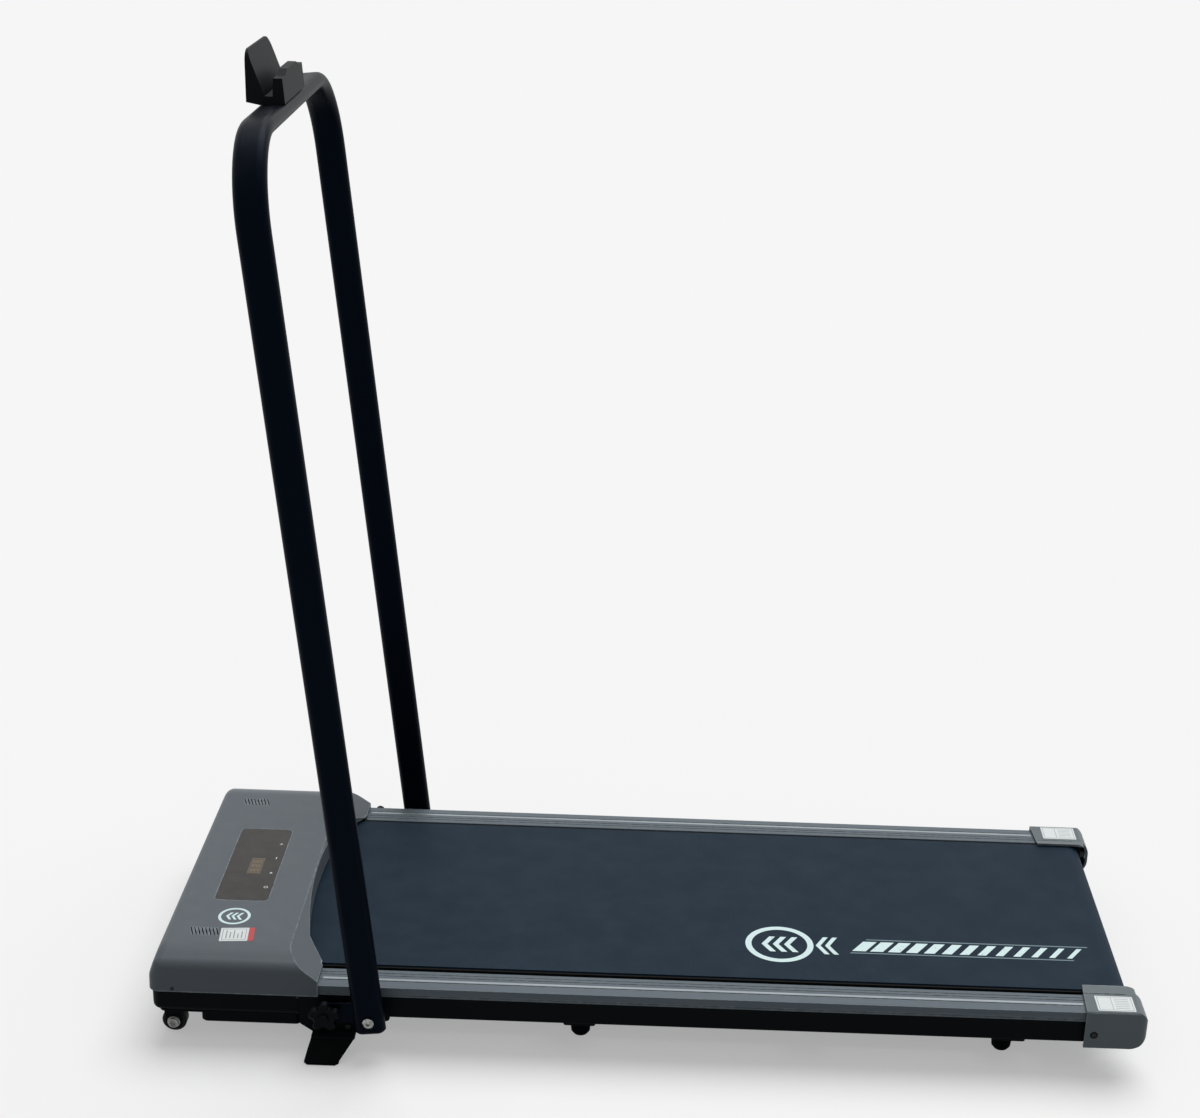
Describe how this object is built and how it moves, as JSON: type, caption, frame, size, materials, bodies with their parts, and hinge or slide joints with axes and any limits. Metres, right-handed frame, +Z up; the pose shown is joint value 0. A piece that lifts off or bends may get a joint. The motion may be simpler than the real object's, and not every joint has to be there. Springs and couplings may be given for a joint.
{
  "type": "treadmill",
  "caption": "Slim under-desk walking treadmill with a belt deck, sloped motor hood with touch display, and a folding handlebar carrying a phone holder.",
  "frame": {"origin": "on the floor, under the middle of the overall bounding box", "axes": "+X to the rear where the user steps on, the motor hood is at -X; +Y to the right of a user facing the hood; +Z up"},
  "size_m": [1.24, 0.558, 1.1987],
  "materials": {
    "hood_grey": "satin",
    "cap_grey": "satin",
    "display_black": "glossy",
    "led_board": "matt",
    "cover_black": "matt",
    "frame_black": "satin powder coat",
    "handle_black": "satin powder coat",
    "rail_alloy": "anodised, brushed lengthways",
    "belt_fabric": "woven texture",
    "foot_rubber": "matt",
    "wheel_plastic": "matt",
    "roller_steel": "turned",
    "zinc_bolt": "bright zinc",
    "board_wood": "phenolic coated fibreboard",
    "drive_rubber": "ribbed",
    "pulley_alloy": "machined",
    "flywheel_iron": "machined rim",
    "motor_steel": "black enamel",
    "controller_alloy": "extruded",
    "inlet_black": "matt",
    "rocker_red": "glossy",
    "breaker_white": "glossy",
    "knob_black": "matt",
    "holder_black": "matt"
  },
  "bodies": {
    "base": {"side_tube_left": "frame_black", "side_tube_right": "frame_black", "front_crossmember": "frame_black", "deck_crossmembers": "frame_black", "deck_cushions": "foot_rubber", "deck_board": "board_wood", "foot_rail_left": "rail_alloy", "foot_rail_right": "rail_alloy", "walking_belt": "belt_fabric", "front_axle": "roller_steel", "front_axle_plates": "frame_black", "rear_axle": "roller_steel", "tension_bracket_left": "frame_black", "tension_bracket_right": "frame_black", "tension_bolts": "zinc_bolt", "drive_belt": "drive_rubber", "motor": "motor_steel", "motor_mount": "frame_black", "controller": "controller_alloy", "led_module": "led_board", "motor_hood": "hood_grey", "display_glass": "display_black", "front_cover": "cover_black", "belly_pan": "frame_black", "power_inlet": "inlet_black", "switch_housing": "inlet_black", "breaker_housing": "inlet_black", "end_cap_left": "cap_grey", "end_cap_right": "cap_grey", "hinge_bracket_left": "frame_black", "hinge_bracket_right": "frame_black", "stand_foot_left": "foot_rubber", "stand_foot_right": "foot_rubber", "foot_screws": "zinc_bolt", "pivot_bolts": "zinc_bolt", "wheel_forks": "frame_black", "wheel_bolts": "zinc_bolt", "foot_bars": "frame_black", "rubber_feet": "foot_rubber"},
    "handlebar": {"handlebar_tube": "handle_black", "post_plugs": "knob_black", "lock_tab_left": "handle_black", "lock_tab_right": "handle_black", "phone_holder": "holder_black", "holder_screws": "zinc_bolt"},
    "lock_knob_l": {"lock_knob_left": "knob_black"},
    "lock_knob_r": {"lock_knob_right": "knob_black"},
    "wheel_l": {"wheel_left": "wheel_plastic"},
    "wheel_r": {"wheel_right": "wheel_plastic"},
    "front_roller_set": {"front_roller": "roller_steel", "front_roller_bearings": "roller_steel", "roller_pulley": "pulley_alloy"},
    "rear_roller_set": {"rear_roller": "roller_steel", "rear_roller_bearings": "roller_steel"},
    "motor_rotor": {"motor_shaft": "roller_steel", "flywheel": "flywheel_iron", "motor_pulley": "pulley_alloy"},
    "power_rocker": {"rocker_button": "rocker_red"},
    "breaker_push": {"breaker_button": "breaker_white"}
  },
  "joints": [
    {"name": "handle_fold", "type": "hinge", "parent": "base", "child": "handlebar", "pos_m": [-0.342, 0, 0.061], "axis": [0, 1, 0], "range_deg": [0, 96]},
    {"name": "lock_knob_left_turn", "type": "hinge", "parent": "base", "child": "lock_knob_l", "pos_m": [-0.398, -0.262, 0.061], "axis": [0, 1, 0], "range_deg": [0, 720]},
    {"name": "lock_knob_right_turn", "type": "hinge", "parent": "base", "child": "lock_knob_r", "pos_m": [-0.398, 0.262, 0.061], "axis": [0, 1, 0], "range_deg": [0, 720]},
    {"name": "wheel_left_spin", "type": "hinge", "parent": "base", "child": "wheel_l", "pos_m": [-0.596, -0.2065, 0.0165], "axis": [0, 1, 0], "continuous": true},
    {"name": "wheel_right_spin", "type": "hinge", "parent": "base", "child": "wheel_r", "pos_m": [-0.596, 0.2065, 0.0165], "axis": [0, 1, 0], "continuous": true},
    {"name": "front_roller_spin", "type": "hinge", "parent": "base", "child": "front_roller_set", "pos_m": [-0.47, 0, 0.0739], "axis": [0, 1, 0], "continuous": true},
    {"name": "rear_roller_spin", "type": "hinge", "parent": "base", "child": "rear_roller_set", "pos_m": [0.586, 0, 0.0739], "axis": [0, 1, 0], "continuous": true},
    {"name": "motor_spin", "type": "hinge", "parent": "base", "child": "motor_rotor", "pos_m": [-0.531, -0.137, 0.0725], "axis": [0, 1, 0], "continuous": true},
    {"name": "power_rocker_tilt", "type": "hinge", "parent": "base", "child": "power_rocker", "pos_m": [-0.617, 0.105, 0.065], "axis": [0, 1, 0], "range_deg": [0, 16]},
    {"name": "breaker_press", "type": "slide", "parent": "base", "child": "breaker_push", "axis": [1, 0, 0], "range_m": [0, 0.003]}
  ],
  "couplings": [
    {"joint": "rear_roller_spin", "follows": "front_roller_spin", "ratio": 1},
    {"joint": "motor_spin", "follows": "front_roller_spin", "ratio": 2.7273}
  ]
}
